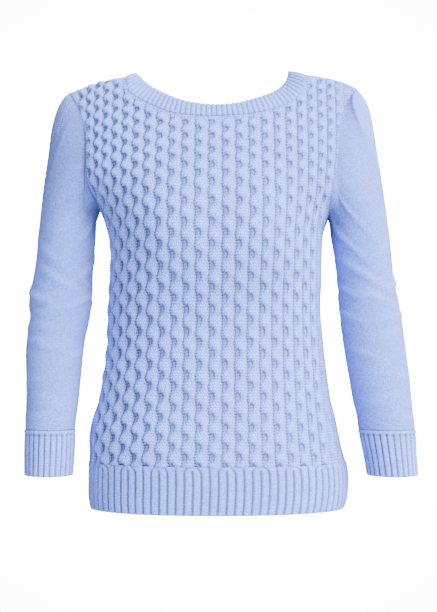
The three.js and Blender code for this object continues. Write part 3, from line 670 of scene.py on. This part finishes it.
# The lines between the ropes swing to the left between crossings, most towards the right side.
weave = 0.05 + 0.05 * smooth(-u_arc, 30, 110) + 0.02 * smooth(u_arc, 90, 150)
c = c + weave * np.cos(np.pi * (h + c))
# The painted shade of the cables is weaker over the middle and stronger towards the sides, where the light rakes; the
# relief does not change with it.
shade_strength = 0.66 + 0.44 * smooth(-u_arc, 45, 120) + 0.12 * smooth(u_arc, 90, 150)
relief, shade = cables(c, h, zc, shade_strength)
# Plain margins: at the sides, and beside and below the neckband.
du, dv = steps(g, 0), steps(g, 1)
from_neck = dv[:, -1:] - dv
neck_side = np.abs(s) <= S_NECK + 0.02
side_u = u_arc + 10 * smooth(-zc, 190, 240)
margin = np.minimum(smooth(side_u, 164, 158), smooth(u_arc, -190, -184))
beside = np.where(neck_side, smooth(from_neck, 5, 9), 1.0)
on_shoulder = smooth(-zc, 6 + 26 * smooth(np.abs(g[..., 0]), 128, 112), 12 + 26 * smooth(np.abs(g[..., 0]), 128, 112))
cabled = margin * beside * on_shoulder
relief = relief * cabled + (1 - cabled) * 0.62
shade = shade * cabled + (1 - cabled) * (1 - 0.05)
edge_in = rounded(g, False, "lrt", 2.0, 0.25)
to_arm = np.minimum(du, du[-1:] - du) + 99.0 * (t <= T_ARM)
keep = smooth(to_arm, 0.5, 8)
lift = np.maximum(-3.3, -3.4 + 4.4 * relief) * keep + edge_in * (to_arm > 99)
# Painted shade: darker under the arm and, through edge_in, along the seams.
pit_shade = underarm_shade(g)
shade = shade * pit_shade
ob, area = cloth("front_cabled", g, n, lift, WALL_CABLE + 0.2, False, (c, h), {"shade": (shade * (1 + 0.5 * edge_in), 0.8), "row_mm": (zc, 0.0)}, CABLE, seams="lrbt")
row_len = du[-1, : int(NV * 0.55)]
flat_pieces(ob, area, "front_panel", float(row_len.max()) / 1000, float(dv[:, -1].max()) / 1000)

# ------------------------------------------------------------------ plain back
NU, NV = 128, 168
s, t = np.linspace(-1, 1, NU + 1)[:, None], t_at(np.linspace(0, ROWS, NV + 1))[None]
g = back_at(s, t)
n = normals(g, False, body_middle)
du, dv = steps(g, 0), steps(g, 1)
zc, xc = g[..., 2], g[..., 0]
fold = (1.6 * np.exp(-(((zc + 300 + 0.10 * np.abs(xc)) / 11) ** 2)) * np.cos(xc / 46 + 0.4)
        + 1.3 * np.exp(-(((zc + 336 - 0.14 * xc) / 10) ** 2)) * np.cos(xc / 52 - 0.9)
        - 1.2 * np.exp(-(((zc + 272 + 0.05 * xc) / 9) ** 2)) * np.cos(xc / 60)
        + 1.2 * np.exp(-(((zc + 215 - 0.5 * (np.abs(xc) - 110)) / 10) ** 2)) * smooth(np.abs(xc), 60, 130))
edge_in = rounded(g, False, "lrbt")
keep = smooth(np.minimum(du, du[-1:] - du) + 99.0 * (t <= T_ARM), 0.5, 8)
fold = fold * keep
# Painted shade: the shade attribute is darker along the seams and under the arm.
ob, area = cloth("back_plain", g, n, fold - 0.4 * keep + edge_in * keep, WALL_PLAIN, False, ((du - du[-1] / 2) / 3.3, dv / 2.5), {"shade": ((1 + 0.5 * edge_in) * underarm_shade(g), 0.8)}, PLAIN, seams="lrbt")
flat_pieces(ob, area, "back_panel", float(du[-1, : int(NV * 0.55)].max()) / 1000, float(dv[:, -1].max()) / 1000)

# ------------------------------------------------------------------ sleeves
for name, node, form, side in (("sleeve_plain_right", "sleeve_right", SLEEVE_L, -1), ("sleeve_plain_left", "sleeve_left", SLEEVE_R, 1)):
    NK, NJ = 128, 224
    g = sleeve_grid(form, side, NK, NJ)
    n = normals(g, True, arm_middle(form))
    du, dv = steps(g, 0), steps(g, 1)
    ang = np.linspace(0, 2 * np.pi, NK + 1)[:, None] + 0 * g[..., 0]
    z, R = g[..., 2], 42.0
    f = np.zeros_like(z)
    for row in (CREASES_RIGHT if side < 0 else CREASES_LEFT):
        f += crease(ang, z, R, *row)
    f *= smooth(dv, 2, 16) * smooth(dv[:, -1:] - dv, 1, 10)
    edge_in = rounded(g, True, "bt")
    # Painted light and shade: crease ridges lighter and crease hollows darker, with painted shade along the seams and
    # under the arm.
    painted_shade = (1 + 0.07 * np.clip(f, -3, 1)) * (1 + 0.5 * edge_in) * underarm_shade(g)
    if side < 0:
        # The right shoulder turns away from the light.
        painted_shade = painted_shade * (1 - 0.24 * smooth(z, -230, -90))
    wales = np.linspace(0, 104, NK + 1)[:, None] + 0 * z
    keep = smooth(dv, 0.5, 8)
    ob, area = cloth(name, g, n, (f - 0.5 + edge_in) * keep, WALL_PLAIN, True, (wales * 0.75, dv / 2.5), {"shade": (painted_shade, 0.8)}, PLAIN, seams="bt")
    flat_pieces(ob, area, node, float(du[-1, NJ * CAP_RINGS // (CAP_RINGS + TUBE_RINGS)]) / 1000, float(dv[:, -1].max()) / 1000)


# ------------------------------------------------------------------ ribs
def ribs(x, width=0.30, sharp=2.0):
    """Relief of wide flat ribs with narrow valleys; valleys at whole numbers."""
    d = np.abs(x - np.round(x))
    v = np.exp(-((d / (width * 0.42)) ** sharp))
    return 1 - v


for name, node, depth, sign in (("hem_rib_front", "hem_front", depth_f, -1), ("hem_rib_back", "hem_back", depth_b, 1)):
    NU, NV = 420, 44
    sv, jv = np.linspace(-1, 1, NU + 1)[:, None], np.linspace(0, 1, NV + 1)[None]
    z = Z_HEM + (Z_HEM_SEAM - Z_HEM) * jv + 0 * sv
    lo, hi = side_l(z), side_r(z)
    x = (lo + hi) / 2 + (hi - lo) / 2 * np.sin(sv * np.pi / 2)
    y = np.where(np.abs(sv) > 1 - 1e-9, 0, sign * body_depth(x, z, depth, sign < 0))
    g = np.stack([x, y, z], -1)
    n = normals(g, False, body_middle)
    du, dv = steps(g, 0), steps(g, 1)
    r = (du - du[-1] / 2) / du[-1] * 42 + 0.5
    down = dv[:, -1:] - dv
    # At the top, pairs of valleys close over two ribs in an arch, on every fourth rib.
    q = (r + 0.5) % 4
    k = np.sqrt(np.clip(1 - (1 - np.clip(down / 8.5, 0, 1)) ** 2, 0, 1))
    lines = np.stack([np.abs(q - 0.0), np.abs(q - 4.0), np.abs(q - (2 - k)), np.abs(q - (2 + k)), np.abs(q - 2) + 3 * (1 - smooth(down, 2, 5))])
    if sign > 0:
        lines = np.abs(r - np.round(r))[None]   # plain ribs behind, under the plain back
    d = lines.min(0) * 9.5
    valley = np.exp(-((d / 1.45) ** 2)) * (0.55 + 0.45 * smooth(down, 0, 7))
    roof = 0.0 * d
    face = np.exp(-(((np.abs(r - np.round(r)) - 0.5) * 9.5 / 0.9) ** 2))
    edge_in = rounded(g, False, "lr", 1.6, 0.4)
    soft = -0.5 * (1 - smooth(dv, 0, 2.5))
    lift = -0.2 - 2.2 * np.clip(valley + 0.8 * roof, 0, 1) + edge_in + soft + 0.5 * np.cos(2 * np.pi * (r + 0.5)) * 0.4
    # Painted shade: darker rib valleys, seam edges and a faint line between the two wales of each rib.
    shade = (1.06 - (0.66 if sign < 0 else 0.78) * np.clip(valley + roof, 0, 1)) * (1 + 0.4 * edge_in) * (1 - 0.10 * face)
    ob, area = cloth(name, g, n, lift, WALL_RIB, False, (du / 2.4, dv / 1.9), {"shade": (shade, 0.8)}, RIB, seams="lrt")
    flat_pieces(ob, area, node, float(du[-1].max()) / 1000, float(dv[:, -1].max()) / 1000)

for name, node, form in (("cuff_rib_right", "cuff_right", SLEEVE_L), ("cuff_rib_left", "cuff_left", SLEEVE_R)):
    NK, NV = 312, 40
    at, _ = tube(form)
    a, jv = np.linspace(0, 2 * np.pi, NK + 1)[:, None], np.linspace(0, 1, NV + 1)[None]
    g = at(a + 0 * jv, Z_CUFF_SEAM + (Z_CUFF - Z_CUFF_SEAM) * jv + 0 * a)
    g[-1] = g[0]
    n = normals(g, True, arm_middle(form))
    du, dv = steps(g, 0), steps(g, 1)
    r = np.linspace(0, 26, NK + 1)[:, None] + 0 * dv
    val = 1 - ribs(r, 0.36)
    edge_in = rounded(g, True, "b", 1.6, 0.5)
    soft = -0.6 * (1 - smooth(dv[:, -1:] - dv, 0, 2.5))
    link = 0.7 * np.exp(-(((dv - 3.2) / 1.4) ** 2)) - 0.7 * np.exp(-(((dv - 6.0) / 1.2) ** 2))
    lift = -0.1 - 1.7 * val * smooth(dv, 1, 6) + edge_in + soft + link
    # Painted shade: darker rib valleys, seam edge and the groove of the link row.
    shade = (1.03 - 0.66 * val * smooth(dv, 1, 6)) * (1 + 0.4 * edge_in) * (1 - 0.3 * np.exp(-(((dv - 6.0) / 1.2) ** 2)))
    ob, area = cloth(name, g, n, lift, WALL_RIB, True, (np.linspace(0, 92, NK + 1)[:, None] + 0 * dv, -dv / 1.9), {"shade": (shade, 0.8)}, RIB, seams="b")
    flat_pieces(ob, area, node, float(du[-1].max()) / 1000, float(dv[:, -1].max()) / 1000)

# Neckband: from the neck edge of the panels up to the free edge.
in_f, in_b = path(BAND_F), path(BAND_B)
NK, NV = 736, 16
k = np.linspace(0, 2, NK + 1)
onf = k <= 1
kk = np.where(onf, k, 2 - k)
s_neck = (2 * kk - 1) * S_NECK
a = np.where(onf[:, None], front_at(s_neck, np.ones_like(kk)), back_at(s_neck, np.ones_like(kk)))
b = np.where(onf[:, None], in_f(kk), in_b(kk))
# Space the ribs evenly.
mid = (a + b) / 2
along = np.concatenate([[0], np.cumsum(np.linalg.norm(np.diff(mid, axis=0), axis=1))])
even = np.interp(np.linspace(0, along[-1], NK + 1), along, k)
onf = even <= 1
kk = np.where(onf, even, 2 - even)
s_neck = (2 * kk - 1) * S_NECK
a = np.where(onf[:, None], front_at(s_neck, np.ones_like(kk)), back_at(s_neck, np.ones_like(kk)))
b = np.where(onf[:, None], in_f(kk), in_b(kk))
u = np.linspace(0, 1, NV + 1)[None, :, None]
full = 1.3 * 4 * u * (1 - u)
g = a[:, None] + (b - a)[:, None] * u
g[..., 1] += (np.where(onf, -1.0, 1.0)[:, None] * full[..., 0]) * 0.8
g[..., 2] += full[..., 0] * 0.6
g[-1] = g[0]


def neck_middle(g):
    o = np.zeros_like(g)
    o[..., 2] = np.minimum(g[..., 2] - 4, -60)
    return o


n = normals(g, True, neck_middle)
du, dv = steps(g, 0), steps(g, 1)
r = np.linspace(0, 92, NK + 1)[:, None] + 0 * dv
val = 1 - ribs(r, 0.40)
edge_in = rounded(g, True, "b", 1.8, 0.6)
soft = -0.7 * (1 - smooth(dv[:, -1:] - dv, 0, 2.2))
lift = 0.1 - 1.5 * val + edge_in + soft
# Painted shade: darker rib valleys and seam edge.
shade = (1.03 - 0.34 * val) * (1 + 0.15 * edge_in)
ob, area = cloth("neckband_rib", g, n, lift, WALL_RIB, True, (np.linspace(0, 230, NK + 1)[:, None] + 0 * dv, dv / 1.9), {"shade": (shade, 0.8)}, RIB, seams="b")
flat_pieces(ob, area, "neckband", float(du[-1].max()) / 1000, float(dv[:, -1].max()) / 1000)

# ------------------------------------------------------------------ camera and light
cam = bpy.data.objects.new("camera", bpy.data.cameras.new("camera"))
bpy.context.scene.collection.objects.link(cam)
cam.data.lens, cam.data.sensor_width = 113, 36
cam.location = (0.00455, -2.5, -0.304)
cam.rotation_euler = (math.pi / 2, 0, 0)
bpy.context.scene.camera = cam

world = bpy.data.worlds.new("studio")
bpy.context.scene.world = world
world.use_nodes = True
t = world.node_tree
E.tree = t
coord = t.nodes.new("ShaderNodeTexCoord")


def lobe(direction, strength, tight):
    """A soft light in one direction of the surroundings."""
    d = np.array(direction, float)
    d /= np.linalg.norm(d)
    dot = t.nodes.new("ShaderNodeVectorMath")
    dot.operation = "DOT_PRODUCT"
    t.links.new(coord.outputs["Generated"], dot.inputs[0])
    dot.inputs[1].default_value = tuple(d)
    return strength * expv((E(dot.outputs["Value"]) - 1.0) * tight)


total = 1.0 + lobe((0, 1, 0), 22.0, 36) + lobe((0.88, -0.75, 0.66), 28.0, 8.0) + lobe((-0.1, -1, -0.35), 2.7, 3.0) + lobe((0.3, 0.2, 1), 1.3, 2.5) - lobe((-0.8, -0.32, 0.85), 1.36, 2.3)
bg = t.nodes["Background"]
t.links.new(total.s, bg.inputs["Strength"])
bg.inputs["Color"].default_value = (1, 1, 1, 1)
